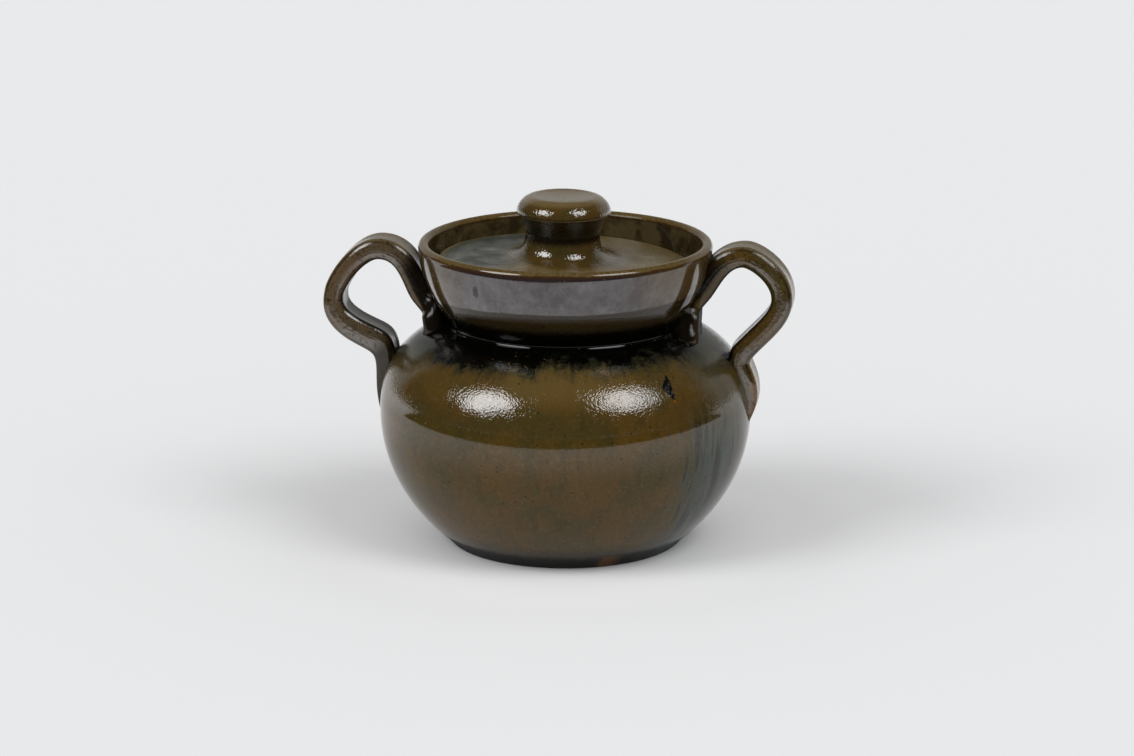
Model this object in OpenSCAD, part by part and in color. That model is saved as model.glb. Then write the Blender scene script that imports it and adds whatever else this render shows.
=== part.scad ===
// Lidded sugar jar in glazed stoneware: a thrown pot with a flared collar, two pulled strap
// handles, and an inset lid that lifts off by its knob.
// Millimetres. +Z is up, and the origin is the centre of the flat foot. The handles lie along X.

/* [Belly and foot] */
// Radius of the flat foot that the jar stands on
foot_r = 40.8; // [34:0.2:46]
// Height of the bevel round the foot
foot_bevel = 3; // [1.5:0.5:6]
// How far the bevel leans out
foot_lean = 2.6; // [1:0.1:5]
// Radius of the belly at its widest
belly_r = 65.3; // [60:0.1:75]
// Height of the belly's widest line above the table
belly_z = 47; // [42:0.5:52]
// How square the shoulder is: 2 is an ellipse, and more is fuller
shoulder_fullness = 2.5; // [2.2:0.05:3]
// Thickness of the belly wall
wall = 4.2; // [3:0.1:6]
// Thickness of the floor at its centre
floor_t = 6.5; // [4:0.5:10]
// How square the inside of the bowl is: 2 is an ellipse
bowl_fullness = 2.65; // [2.3:0.05:2.8]

/* [Neck and collar] */
// Outer radius at the neck, where the shoulder meets the collar
neck_r = 41; // [37:0.2:46]
// Height of the neck
neck_z = 78.6; // [74:0.2:84]
// Thickness of the wall at the neck
neck_wall = 4; // [3:0.1:6]
// Half height of the small hollow curve in the neck
neck_round = 1.2; // [0.6:0.1:2]
// Outer radius of the rim
rim_r = 51.5; // [48:0.1:58]
// Height of the collar from the neck to the rim
collar_h = 28.8; // [25:0.2:34]
// How much the collar bows outwards between neck and rim: 1 is straight
collar_bow = 1.9; // [1.3:0.05:2.2]
// How far the inside of the collar opens from the ledge to the lip
collar_open = 1.9; // [0.5:0.1:3]
// Width of the rounded lip
lip_w = 4; // [3:0.1:5.5]
// Height of the lip's rounding
lip_h = 2; // [1:0.1:3]

/* [Ledge and lid] */
// Depth of the ledge below the rim
seat_depth = 11.4; // [8:0.2:14]
// Thickness of the ledge at its inner edge
ledge_t = 3.2; // [2:0.1:5]
// Running gap between the lid's edge and the collar
lid_gap = 0.9; // [0.4:0.1:1.5]
// How far the lid's edge rests on the ledge
seat_w = 4.6; // [3:0.1:6]
// Thickness of the lid at its edge
lid_edge = 3.7; // [3:0.1:5]
// Rise of the lid's top from its edge to the knob
lid_rise = 1.7; // [0.5:0.1:4]
// Rounding of the lid's edge
lid_round = 1.1; // [0.4:0.1:1.4]
// Depth of the turned hollow under the lid
hollow_depth = 1.2; // [0.4:0.1:2]
// How far inside the ledge's edge that hollow ends
hollow_inset = 5.1; // [2:0.1:8]

/* [Knob] */
// Radius of the knob's spread foot on the lid
knob_foot_r = 17.6; // [15:0.1:22]
// Height up to which that foot stays spread
knob_foot_h = 1.1; // [0.4:0.1:2]
// Radius of the knob's waist
knob_waist_r = 12.8; // [9:0.1:14]
// Height of the waist above the lid
knob_waist_h = 7.2; // [5:0.1:9]
// How far the curve runs straight up from the waist before it swells
waist_pull = 3.2; // [2:0.1:4.5]
// Radius of the knob at its widest
knob_r = 16.5; // [15.5:0.1:20]
// Height of the knob's widest line above the lid
knob_belly_h = 16.6; // [14:0.1:18]
// How far below the widest line the swell is upright again
belly_pull = 4; // [2:0.1:5]
// Full height of the knob above the lid
knob_h = 22.2; // [20:0.1:28]
// Radius of the rim round the shallow dish on top of the knob
dish_r = 9.5; // [7:0.1:13]
// Depth of the dish
dish_depth = 1.1; // [0.4:0.1:2]

/* [Handle straps] */
// Width of the strap
strap_w = 14; // [10:0.2:18]
// Thickness of the strap over the loop
strap_t = 7.7; // [6:0.1:9]
// How square the strap's section is: 2 is an oval
strap_fullness = 2.6; // [2:0.1:4]
// Extra thickness where the strap is pressed on
root_swell = 1.4; // [0:0.1:2.5]
// How far below the neck line the strap's top end is pressed on
root_drop = 1.6; // [0:0.1:3]
// Extra width of that top end
pad_swell = 3; // [0:0.2:6]
// How far that top end sits to the front of the handle's middle
pad_aside = 5; // [0:0.5:7]
// Thickness of the tail where it fades into the belly
tail_t = 5.6; // [4:0.1:7]
// Width of the tail where it fades into the belly
tail_w = 9; // [6:0.2:14]

/* [Left handle] */
// How far outside the neck the strap's centre starts
left_root_out = 3.85; // [2:0.05:5]
// Height above the neck at which the strap leaves the collar
left_lift_h = 8.6; // [6:0.2:12]
// How far the strap's centre stands off the collar there
left_lift_off = 4.05; // [-1:0.05:5]
// How far the top of the loop lies outside the rim
left_crest = 13.9; // [11:0.1:18]
// How far the strap's centre at the top of the loop lies below the rim
left_crest_drop = 4; // [2:0.1:8]
// How far the strap's centre stands out past the belly at its widest
left_reach = 16.5; // [12:0.1:24]
// How far that widest place lies below the rim
left_reach_drop = 21.3; // [17:0.1:25]
// How much thinner the strap is there
left_thin = 0.6; // [0:0.1:1.5]
// How far past the belly the lower limb turns towards the shoulder
left_turn = 5.4; // [3:0.1:8]
// How far that turn lies below the neck
left_turn_drop = 6.6; // [4:0.2:10]
// How far inside the belly's radius the tail's centre ends
left_tail_in = 2.2; // [1:0.1:4]
// How far the tail ends below the belly's widest line
left_tail_drop = 2; // [-3:0.5:8]

/* [Right handle] */
// How far outside the neck the strap's centre starts
right_root_out = 2; // [1:0.05:5]
// Height above the neck at which the strap leaves the collar
right_lift_h = 12.2; // [9:0.2:15]
// How far the strap's centre stands off the collar there, and less than 0 is inside it
right_lift_off = -1.1; // [-2:0.05:5]
// How far the top of the loop lies outside the rim
right_crest = 11.2; // [9:0.1:15]
// How far the strap's centre at the top of the loop lies below the rim
right_crest_drop = 2.9; // [1:0.1:6]
// How far the strap's centre stands out past the belly at its widest
right_reach = 11.3; // [9:0.1:18]
// How far that widest place lies below the rim
right_reach_drop = 17.7; // [14:0.1:22]
// How far inside the belly's radius the lower limb turns down
right_turn = 2.9; // [1:0.1:5]
// How far that turn lies below the neck
right_turn_drop = 14.8; // [11:0.2:18]
// How far inside the belly's radius the tail's centre ends
right_tail_in = 3.8; // [1:0.1:5]
// How far the tail ends below the belly's widest line
right_tail_drop = 6; // [0:0.5:10]

/* [Hidden] */
ROUND = 128;
ARC_STEPS = 10;
SMALL_STEPS = 6;
SWEEP_STEPS = 12;
SIDES = 20;
glaze = "#5a4726";
glaze_dark = "#3f3119";

// Sizes that follow from the ones above
belly_drop = (belly_z - foot_bevel) / sqrt(1 - pow((foot_r + foot_lean) / belly_r, 2));
shoulder_rise = (neck_z - belly_z) / superellipse_side(neck_r / belly_r, shoulder_fullness);
bore_r = belly_r - wall;
bore_rise = shoulder_rise - wall;
throat_r = neck_r - neck_wall;
rim_z = neck_z + collar_h;
lip_z = rim_z - lip_h;
seat_z = rim_z - seat_depth;
collar_in_r = rim_r - lip_w - collar_open;
lid_r = collar_in_r - lid_gap;
ledge_r = lid_r - seat_w;
hollow_r = ledge_r - hollow_inset;
lid_top_z = seat_z + lid_edge;
crown_z = lid_top_z + lid_rise;
waist_z = crown_z + knob_waist_h;
knob_belly_z = crown_z + knob_belly_h;
knob_top_z = crown_z + knob_h;
root_t = strap_t + root_swell;
pad_w = strap_w + pad_swell;

// The other side of a superellipse of unit half axes
function superellipse_side(x, n) = pow(1 - pow(x, n), 1 / n);
function signed_pow(x, p) = sign(x) * pow(abs(x), p);

// A run of a superellipse of half axes r and h about a centre, from angle a to angle b
function arc(centre, r, h, n, a, b, steps = ARC_STEPS) = [for (i = [0:steps])
    let (t = a + (b - a) * i / steps)
    centre + [r * signed_pow(cos(t), 2 / n), h * signed_pow(sin(t), 2 / n)]];

// Quadratic and cubic curves between points
function curve3(a, b, c, steps = SMALL_STEPS) = [for (i = [0:steps])
    let (t = i / steps) a * pow(1 - t, 2) + b * 2 * t * (1 - t) + c * t * t];
function at4(p, t) = p[0] * pow(1 - t, 3) + p[1] * 3 * t * pow(1 - t, 2)
    + p[2] * 3 * t * t * (1 - t) + p[3] * pow(t, 3);
function slope4(p, t) = (p[1] - p[0]) * 3 * pow(1 - t, 2)
    + (p[2] - p[1]) * 6 * t * (1 - t) + (p[3] - p[2]) * 3 * t * t;
function curve4(p, steps = ARC_STEPS) = [for (i = [0:steps]) at4(p, i / steps)];

// A run of points without its first, which the run before it ends on
function rest_of(p) = [for (i = [1:len(p) - 1]) p[i]];

// Outer radius of the collar at a height
function collar_r(z) = neck_r
    + (rim_r - neck_r) * (1 - pow(1 - (z - neck_z) / (lip_z - neck_z), collar_bow));

// Outside of the pot from the foot's edge up to the lip
function outside() =
    let (low = asin((belly_z - foot_bevel) / belly_drop),
         neck_low = neck_z - neck_round,
         neck_high = neck_z + neck_round,
         high = asin(pow((neck_low - belly_z) / shoulder_rise, shoulder_fullness / 2)),
         belly = arc([0, belly_z], belly_r, belly_drop, 2, -low, 0),
         shoulder = arc([0, belly_z], belly_r, shoulder_rise, shoulder_fullness, 0, high),
         collar = [for (i = [0:ARC_STEPS])
             let (z = neck_high + (lip_z - neck_high) * i / ARC_STEPS) [collar_r(z), z]],
         neck = curve3(shoulder[ARC_STEPS], [neck_r, neck_z], collar[0]))
    concat([[foot_r, 0]], belly, rest_of(shoulder), rest_of(neck), rest_of(collar));

// Rounded lip, from its outer edge over the crest to its inner edge
function lip() = rest_of(arc([rim_r - lip_w / 2, lip_z], lip_w / 2, lip_h, 2, 0, 180));

// Inside of the pot from the ledge down through the throat to the floor
function inside() =
    let (mid_z = (neck_z + seat_z) / 2,
         top = acos(pow(throat_r / bore_r, shoulder_fullness / 2)),
         throat = curve3([ledge_r, seat_z - ledge_t], [collar_r(mid_z) - wall, mid_z],
             [throat_r, neck_z]),
         upper = arc([0, belly_z], bore_r, bore_rise, shoulder_fullness, top, 0),
         bowl = arc([0, belly_z], bore_r, belly_z - floor_t, bowl_fullness, 0, -90, 2 * ARC_STEPS))
    concat([[collar_in_r, seat_z], [ledge_r, seat_z]], throat, upper, rest_of(bowl));

// The pot's outer form as a solid, which also trims the handles' ends
module pot_form() {
    rotate_extrude($fn = ROUND)
        polygon(concat([[0, 0]], outside(), lip(), [[0, lip_z]]));
}

module pot_body() {
    color(glaze)
        rotate_extrude($fn = ROUND)
            polygon(concat([[0, 0]], outside(), lip(), inside()));
}

// Lid: a disc with a turned hollow below, and a top that rises gently to the knob
module lid_disc() {
    edge_r = lid_r - lid_round;
    hollow_z = seat_z + hollow_depth;
    edge = arc([edge_r, lid_top_z - lid_round], lid_round, lid_round, 2, 0, 90, SMALL_STEPS);
    top = curve3([edge_r, lid_top_z], [(lid_r + knob_foot_r) / 2, crown_z], [knob_foot_r, crown_z]);
    color(glaze_dark)
        rotate_extrude($fn = ROUND)
            polygon(concat(
                [[0, hollow_z], [hollow_r - hollow_depth, hollow_z], [hollow_r, seat_z],
                 [edge_r, seat_z], [lid_r, seat_z + lid_round]],
                edge, rest_of(top), [[0, crown_z]]));
}

// Knob: a spread foot, a waist, a full bulb and a shallow dish on top
module lid_knob() {
    foot = curve3([knob_foot_r, crown_z], [knob_waist_r, crown_z + knob_foot_h],
        [knob_waist_r, waist_z], ARC_STEPS);
    bulb = curve4([[knob_waist_r, waist_z], [knob_waist_r, waist_z + waist_pull],
        [knob_r, knob_belly_z - belly_pull], [knob_r, knob_belly_z]]);
    cap = arc([dish_r, knob_belly_z], knob_r - dish_r, knob_top_z - knob_belly_z, 2, 0, 90);
    dish = curve3([dish_r, knob_top_z], [dish_r / 2, knob_top_z - dish_depth],
        [0, knob_top_z - dish_depth]);
    color(glaze)
        rotate_extrude($fn = ROUND)
            polygon(concat([[0, crown_z]], foot, rest_of(bulb), rest_of(cap), rest_of(dish)));
}

// A knot of a handle's centre line: its place [out, up], its heading in degrees, the pull of the
// curve before and after it as shares of the distance to the next knot, the strap's thickness
// and width, and how far it lies to the front
function knot(place, heading, pull, size, aside = 0) =
    [place, [cos(heading), sin(heading)], pull, [size[0] / 2, size[1] / 2, aside]];

// Position, direction, half sizes and side shift along the curve between two knots
function limb(a, b, t) =
    let (d = norm(b[0] - a[0]),
         p = [a[0], a[0] + a[1] * a[2][1] * d, b[0] - b[1] * b[2][0] * d, b[0]],
         ease = 3 * t * t - 2 * pow(t, 3))
    [at4(p, t), slope4(p, t), a[3] + (b[3] - a[3]) * ease];

// A pulled strap swept through its knots as one closed skin
module strap(knots) {
    stations = [for (k = [0:len(knots) - 2], i = [k == 0 ? 0 : 1:SWEEP_STEPS])
        limb(knots[k], knots[k + 1], i / SWEEP_STEPS)];
    last = len(stations) - 1;
    points = [for (s = stations, j = [0:SIDES - 1])
        let (a = 360 * j / SIDES, d = s[1] / norm(s[1]),
             up = s[2][0] * signed_pow(cos(a), 2 / strap_fullness),
             across = s[2][1] * signed_pow(sin(a), 2 / strap_fullness))
        [s[0][0] - d[1] * up, across - s[2][2], s[0][1] + d[0] * up]];
    skin = [for (i = [0:last - 1], j = [0:SIDES - 1])
        let (a = i * SIDES + j, b = i * SIDES + (j + 1) % SIDES)
        each [[a, b, b + SIDES], [a, b + SIDES, a + SIDES]]];
    ends = [[for (j = [SIDES - 1:-1:0]) j], [for (j = [0:SIDES - 1]) last * SIDES + j]];
    polyhedron(points, concat(skin, ends));
}

// Left handle: its top end is pressed on the neck and lies up the collar before it lifts away
module left_handle() {
    lift_z = neck_z + left_lift_h;
    color(glaze)
        mirror([1, 0, 0])
            difference() {
                strap([
                    knot([neck_r + left_root_out, neck_z - root_drop],
                        heading = 79, pull = [0, 0.85], size = [strap_t, pad_w], aside = pad_aside),
                    knot([collar_r(lift_z) + left_lift_off, lift_z],
                        heading = 52, pull = [0.6, 0.2], size = [strap_t, strap_w]),
                    knot([rim_r + left_crest, rim_z - left_crest_drop],
                        heading = 0, pull = [0.48, 0.33], size = [strap_t, strap_w]),
                    knot([belly_r + left_reach, rim_z - left_reach_drop],
                        heading = -90, pull = [0.17, 0.13], size = [strap_t - left_thin, strap_w]),
                    knot([belly_r + left_turn, neck_z - left_turn_drop],
                        heading = -157, pull = [0.78, 0.5], size = [root_t, strap_w]),
                    knot([belly_r - left_tail_in, belly_z - left_tail_drop],
                        heading = -105, pull = [0.5, 0], size = [tail_t, tail_w])]);
                pot_form();
            }
}

// Right handle: a little shorter, and pressed closer to the collar
module right_handle() {
    lift_z = neck_z + right_lift_h;
    color(glaze)
        difference() {
            strap([
                knot([neck_r + right_root_out, neck_z - root_drop],
                    heading = 78, pull = [0, 0.32], size = [root_t, pad_w], aside = pad_aside),
                knot([collar_r(lift_z) + right_lift_off, lift_z],
                    heading = 43, pull = [0.7, 0.2], size = [root_t, strap_w]),
                knot([rim_r + right_crest, rim_z - right_crest_drop],
                    heading = 0, pull = [0.42, 0.21], size = [strap_t, strap_w]),
                knot([belly_r + right_reach, rim_z - right_reach_drop],
                    heading = -90, pull = [0.4, 0.37], size = [strap_t, strap_w]),
                knot([belly_r - right_turn, neck_z - right_turn_drop],
                    heading = -63, pull = [0.31, 0.56], size = [strap_t, strap_w]),
                knot([belly_r - right_tail_in, belly_z - right_tail_drop],
                    heading = -96, pull = [0.34, 0], size = [tail_t, tail_w])]);
            pot_form();
        }
}

pot_body();
left_handle();
right_handle();
lid_disc();
lid_knob();
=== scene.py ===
# Sugar jar in glazed stoneware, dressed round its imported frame: a thrown pot with a flared
# collar, two pulled strap handles, and an inset lid with a turned knob, which lifts off.
# Sizes are in millimetres, and MM turns them into Blender's metres.
import math

import bmesh
import bpy
from mathutils import Matrix, Vector


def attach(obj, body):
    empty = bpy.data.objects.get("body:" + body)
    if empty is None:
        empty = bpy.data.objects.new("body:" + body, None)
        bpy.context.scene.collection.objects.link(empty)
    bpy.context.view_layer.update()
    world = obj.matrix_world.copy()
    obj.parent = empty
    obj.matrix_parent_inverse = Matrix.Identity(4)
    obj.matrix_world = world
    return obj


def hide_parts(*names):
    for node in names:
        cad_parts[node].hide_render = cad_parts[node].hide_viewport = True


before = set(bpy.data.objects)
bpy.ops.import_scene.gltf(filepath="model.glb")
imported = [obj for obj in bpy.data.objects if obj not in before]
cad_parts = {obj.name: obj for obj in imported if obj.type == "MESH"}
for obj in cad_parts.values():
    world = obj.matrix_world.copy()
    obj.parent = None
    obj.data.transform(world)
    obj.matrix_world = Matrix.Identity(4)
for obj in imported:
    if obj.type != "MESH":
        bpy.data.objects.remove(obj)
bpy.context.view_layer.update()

MM = 0.001


# Pot. The real one is stoneware thrown on the wheel in one piece: a flat foot, a round belly,
# a tight neck and a flared collar with a rounded lip, and inside the collar a ledge for the lid.
# It is dipped in an iron-brown glaze that runs, and pools black in the neck.
foot_r, bevel_r, bevel_z = 40.8, 43.4, 3.0
belly_r, belly_z, shoulder_fullness = 65.29, 47.0, 2.5
neck_r, neck_z, neck_round = 41.0, 78.6, 1.2
rim_r, rim_z, lip_w, lip_h, collar_bow = 51.5, 107.4, 4.0, 2.0, 1.9
lip_z = rim_z - lip_h
wall, floor_t, bowl_fullness = 4.2, 6.5, 2.65
seat_z, collar_in_r, ledge_r, ledge_t, throat_r = 96.0, 45.6, 40.1, 3.2, 37.0
belly_drop = (belly_z - bevel_z) / math.sqrt(1 - (bevel_r / belly_r) ** 2)
shoulder_rise = (neck_z - belly_z) / (
    (1 - (neck_r / belly_r) ** shoulder_fullness) ** (1 / shoulder_fullness)
)


def run(centre_z, half_r, half_h, fullness, start, end, steps, centre_r=0.0):
    """A run of a superellipse as [radius, height] points, from one angle to another."""
    points = []
    for i in range(steps + 1):
        turn = math.radians(start + (end - start) * i / steps)
        c, s = math.cos(turn), math.sin(turn)
        points.append((
            centre_r + half_r * math.copysign(abs(c) ** (2 / fullness), c),
            centre_z + half_h * math.copysign(abs(s) ** (2 / fullness), s),
        ))
    return points


def bend(a, b, c, steps):
    """A quadratic curve from a to c that heads for b."""
    points = []
    for i in range(steps + 1):
        t = i / steps
        points.append(tuple(
            p * (1 - t) ** 2 + q * 2 * t * (1 - t) + r * t * t for p, q, r in zip(a, b, c)
        ))
    return points


def collar_r(z):
    """Outer radius of the collar at a height."""
    return neck_r + (rim_r - neck_r) * (1 - (1 - (z - neck_z) / (lip_z - neck_z)) ** collar_bow)


def fresh(kind, **settings):
    """Adds a primitive in edit mode with nothing else selected, and gives its object."""
    bpy.ops.object.select_all(action="DESELECT")
    getattr(bpy.ops.mesh, kind)(**settings)
    bpy.ops.object.mode_set(mode="EDIT")
    bpy.ops.mesh.select_all(action="SELECT")
    return bpy.context.object


def choose(piece, wanted):
    """Selects the corners of a piece in edit mode whose place passes the test."""
    bpy.ops.mesh.select_all(action="DESELECT")
    form = bmesh.from_edit_mesh(piece.data)
    for corner in form.verts:
        corner.select = bool(wanted(corner.co))
    form.select_flush(True)
    bmesh.update_edit_mesh(piece.data)


# Corners nearer to each other than this, in metres, are one.
hair = 1e-6


def turned(name, section, steps):
    """Draws a half section point by point and spins it round the wheel's axis."""
    piece = fresh("primitive_plane_add", size=MM)
    piece.name = piece.data.name = name
    bpy.ops.mesh.merge(type="CENTER")
    here = (0.0, 0.0)
    for r, z in section:
        step = ((r - here[0]) * MM, 0, (z - here[1]) * MM)
        if here == (0.0, 0.0):
            bpy.ops.transform.translate(value=step)
        else:
            bpy.ops.mesh.extrude_region_move(TRANSFORM_OT_translate={"value": step})
        here = (r, z)
    bpy.ops.mesh.select_all(action="SELECT")
    bpy.ops.mesh.spin(steps=steps, angle=2 * math.pi, center=(0, 0, 0), axis=(0, 0, 1))
    bpy.ops.mesh.select_all(action="SELECT")
    bpy.ops.mesh.remove_doubles(threshold=hair)
    bpy.ops.mesh.normals_make_consistent(inside=False)
    return piece


def smoothed(sharp=40):
    """Leaves edit mode and smooths the shading over all but sharp edges, in degrees."""
    bpy.ops.object.mode_set(mode="OBJECT")
    bpy.ops.object.shade_smooth_by_angle(angle=math.radians(sharp))


# The outline from the foot up: belly, shoulder, neck, and a collar that bows out to the lip
low = math.degrees(math.asin((belly_z - bevel_z) / belly_drop))
neck_low, neck_high = neck_z - neck_round, neck_z + neck_round
high = math.degrees(math.asin(((neck_low - belly_z) / shoulder_rise) ** (shoulder_fullness / 2)))
belly = run(belly_z, belly_r, belly_drop, fullness=2, start=-low, end=0, steps=30)
shoulder = run(belly_z, belly_r, shoulder_rise, shoulder_fullness, start=0, end=high, steps=30)
collar_start, flare, collar_end = (neck_r + 0.88, neck_high), (48.36, 92.0), (rim_r, lip_z)
lower_bow, upper_bow = (45.44, 85.36), (51.15, 98.33)
collar = bend(collar_start, lower_bow, flare, steps=12)
collar += bend(flare, upper_bow, collar_end, steps=14)[1:]
neck = bend(shoulder[-1], (neck_r, neck_z), collar_start, steps=8)
outside = belly + shoulder[1:] + neck[1:] + collar[1:]
lip_centre_r = rim_r - lip_w / 2
lip = run(lip_z, lip_w / 2, lip_h, fullness=2, start=0, end=180, steps=14, centre_r=lip_centre_r)[1:]

# The inside from the ledge down: a throat that follows the collar's wall, then the bowl
mid_z = (neck_z + seat_z) / 2
throat_mid = (collar_r(mid_z) - wall, mid_z)
throat = bend((ledge_r, seat_z - ledge_t), throat_mid, (throat_r, neck_z), steps=10)
bore_r, bore_rise = belly_r - wall, shoulder_rise - wall
top = math.degrees(math.acos((throat_r / bore_r) ** (shoulder_fullness / 2)))
bowl = run(belly_z, bore_r, bore_rise, shoulder_fullness, start=top, end=0, steps=24)
bowl += run(belly_z, bore_r, belly_z - floor_t, bowl_fullness, start=0, end=-90, steps=40)[1:]
ring_rise, ring_depth, ring_fade_r, bowl_floor_r = 7.0, 0.22, 12, 30


def ringed(r, z):
    """A point of the bowl, brought in by the shallow rings that the potter's fingers left."""
    travel = z if r > bowl_floor_r else r
    wave = 1 + math.sin(2 * math.pi * travel / ring_rise)
    return max(r - ring_depth * wave * min(1, r / ring_fade_r), 0), z


bowl = [ringed(r, z) for r, z in bowl]
foot_hollow = 0.7
underside = [(0, foot_hollow), (34, foot_hollow), (36, 0.5), (37.2, 0.1), (38, 0)]
foot_edge = [(foot_r - 0.4, 0), (foot_r + 0.3, 0.5), (foot_r + 1.4, 1.7)]
collar_bore = [(collar_in_r + 0.15, seat_z + 0.8), (collar_in_r - 0.2, seat_z + 0.15)]
ledge = [(collar_in_r - 0.9, seat_z), (ledge_r + 0.6, seat_z), (ledge_r + 0.1, seat_z - 0.25)]
ledge += [(ledge_r, seat_z - 0.8)]
half_section = underside + foot_edge + outside + lip + collar_bore + ledge + throat + bowl[1:]
pot = turned("thrown_pot", half_section, steps=144)
smoothed()


def linear(code):
    """An sRGB hex colour as the linear colour that a socket takes."""
    parts = (int(code[i:i + 2], 16) / 255 for i in (1, 3, 5))
    return tuple(c / 12.92 if c <= 0.04045 else ((c + 0.055) / 1.055) ** 2.4 for c in parts) + (1,)


def add(tree, kind, settings, *inputs, **named):
    """Adds a node: its settings, then its inputs in order or by name, as values or as nodes."""
    node = tree.nodes.new("ShaderNode" + kind)
    for key, value in settings.items():
        setattr(node, key, value)
    live = [socket for socket in node.inputs if socket.enabled]
    pairs = list(zip(live, inputs))
    pairs += [(next(s for s in live if s.name == k.replace("_", " ")), v) for k, v in named.items()]
    for socket, value in pairs:
        if isinstance(value, bpy.types.Node):
            value = next(out for out in value.outputs if out.enabled)
        if isinstance(value, bpy.types.NodeSocket):
            tree.links.new(value, socket)
        elif value is not None:
            socket.default_value = value
    return node


def finish_named(name):
    """A new material with an empty tree and its output."""
    material = bpy.data.materials.new(name)
    material.use_nodes = True
    material.node_tree.nodes.clear()
    return material, material.node_tree, material.node_tree.nodes.new("ShaderNodeOutputMaterial")


# Iron-brown stoneware glaze, dipped and fired to a hard gloss. It gives a warm brown with olive
# clouds, soft runs down the wall, pinholes, and an orange-peel ripple over the shoulder. Where it
# pools in the neck it is black, and where it runs thick on the right it turns grey green.
# Places are in millimetres, so a noise scale of 0.06 gives clouds about 17 mm wide, and azimuth is
# in radians from the front to the right. A MapRange lists from low, from high, to low, to high.
glaze_ior, glaze_level, lustre_ior, girth_r = 1.58, 0.2, 2.1, 60.0
EASE = {"interpolation_type": "SMOOTHSTEP"}
COLOUR = {"data_type": "RGBA"}
TIMES, PLUS, LESS = {"operation": "MULTIPLY"}, {"operation": "ADD"}, {"operation": "SUBTRACT"}
SCALED, UNSIGNED = {"operation": "MULTIPLY_ADD"}, {"operation": "ABSOLUTE"}
LARGER, SMALLER, LENGTH = {"operation": "MAXIMUM"}, {"operation": "MINIMUM"}, {"operation": "LENGTH"}


def iron_glaze(name, way):
    """The dipped glaze: its tree, place in mm, clouds, runs, fine grain, and brown body.

    way takes the tree and the place, and gives the coordinates that the glaze runs along.
    """
    material, tree, output = finish_named(name)
    here = add(tree, "TexCoord", {}).outputs["Object"]
    place = add(tree, "Mapping", {}, here, Scale=(1000, 1000, 1000))
    path = way(tree, place)
    cloud = add(tree, "TexNoise", {}, Vector=place, Scale=0.06, Detail=6.0, Roughness=0.62)
    runs = add(tree, "TexNoise", {}, Vector=path, Scale=0.34, Detail=5.0, Roughness=0.6)
    grain = add(tree, "TexNoise", {}, Vector=place, Scale=0.9, Detail=4.0, Roughness=0.65)
    olive = add(tree, "MapRange", EASE, cloud, 0.40, 0.60)
    body = add(tree, "Mix", COLOUR, olive, linear("#4a3611"), linear("#3e3314"))
    dark = add(tree, "MapRange", EASE, runs, 0.48, 0.70, 0.0, 0.4)
    body = add(tree, "Mix", COLOUR, dark, body, linear("#2c2711"))
    pale = add(tree, "MapRange", EASE, grain, 0.46, 0.30, 0.0, 0.5)
    body = add(tree, "Mix", COLOUR, pale, body, linear("#57482a"))
    rust = add(tree, "MapRange", EASE, grain, 0.56, 0.70, 0.0, 0.45)
    body = add(tree, "Mix", COLOUR, rust, body, linear("#2c1e0c"))
    return material, tree, output, place, path, cloud, runs, grain, body


def down_the_wall(tree, place):
    """Coordinates that run down a thrown wall, drawn out to about three times as long."""
    x, y, z = add(tree, "SeparateXYZ", {}, place).outputs
    out = add(tree, "VectorMath", {"operation": "NORMALIZE"}, add(tree, "CombineXYZ", {}, x, y, 0.0))
    out = add(tree, "VectorMath", {"operation": "SCALE"}, out, Scale=girth_r)
    down = add(tree, "CombineXYZ", {}, 0.0, 0.0, add(tree, "Math", TIMES, z, 0.3))
    return add(tree, "VectorMath", PLUS, out, down)


material, tree, output, place, path, _, runs, grain, body = iron_glaze(
    "dipped_iron_glaze_on_pot", down_the_wall
)
x, y, z = add(tree, "SeparateXYZ", {}, place).outputs
radius = add(tree, "VectorMath", LENGTH, add(tree, "CombineXYZ", {}, x, y, 0.0))
radius = radius.outputs["Value"]
azimuth = add(tree, "Math", {"operation": "ARCTAN2"}, x, add(tree, "Math", TIMES, y, -1.0))
patch = add(tree, "TexNoise", {}, Vector=place, Scale=0.13, Detail=5.0, Roughness=0.6)
sway = add(tree, "Math", SCALED, patch, 8.0, -4.0)
ragged = add(tree, "Math", PLUS, z, sway)
ragged = add(tree, "Math", PLUS, ragged, add(tree, "Math", SCALED, runs, 6.0, -3.0))

# The glaze is lighter just under the neck, and dry, dark and partly bare round the foot, where the
# darkening is partly painted contact shade.
high_up = add(tree, "MapRange", EASE, z, 60.0, 69.0, 0.0, 0.7)
beside_front = add(tree, "Math", UNSIGNED, add(tree, "Math", LESS, azimuth, 0.14))
beside_front = add(tree, "MapRange", EASE, beside_front, 0.3, 0.5, 1.0, 0.25)
high_up = add(tree, "Math", TIMES, high_up, beside_front)
body = add(tree, "Mix", COLOUR, high_up, body, linear("#5c4a26"))
# Darker towards the foot: partly dry glaze, partly painted contact shade
low_down = add(tree, "Math", SCALED, sway, 0.35, z)
dry_foot_and_shade = add(tree, "MapRange", EASE, low_down, 11.0, 3.5)
body = add(tree, "Mix", COLOUR, dry_foot_and_shade, body, linear("#0f0d0a"))
bare = add(tree, "MapRange", EASE, add(tree, "Math", SCALED, azimuth, -6.0, patch), -1.75, -2.1)
bare = add(tree, "Math", TIMES, bare, add(tree, "MapRange", EASE, azimuth, 0.62, 0.5))
bare = add(tree, "Math", TIMES, bare, add(tree, "MapRange", EASE, low_down, 5.6, 4.6))
body = add(tree, "Mix", COLOUR, bare, body, linear("#4a3013"))

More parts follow.
